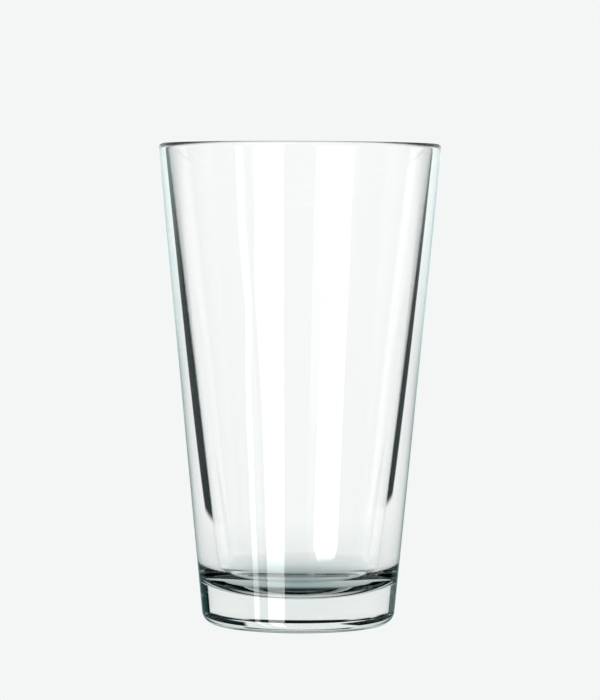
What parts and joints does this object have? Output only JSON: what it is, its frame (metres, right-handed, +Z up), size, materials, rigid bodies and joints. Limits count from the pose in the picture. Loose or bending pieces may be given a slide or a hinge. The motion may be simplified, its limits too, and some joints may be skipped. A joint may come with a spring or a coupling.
{
  "type": "mixing glass",
  "caption": "Tall tapered clear bar glass with a thick solid base, a rounded heel and a fire-polished lip; mixes drinks and seals into a shaker tin.",
  "frame": {"origin": "centre of the standing ring, on the plane the glass stands on", "axes": "+Z up along the glass's axis, towards the mouth; X and Y are any two square directions across it, because it is round"},
  "size_m": [0.088, 0.088, 0.15],
  "materials": {
    "clear_glass": "clear polished soda-lime glass, faintly grey-green where it is thick"
  },
  "bodies": {
    "root": {"tumbler": "clear_glass"}
  },
  "joints": []
}
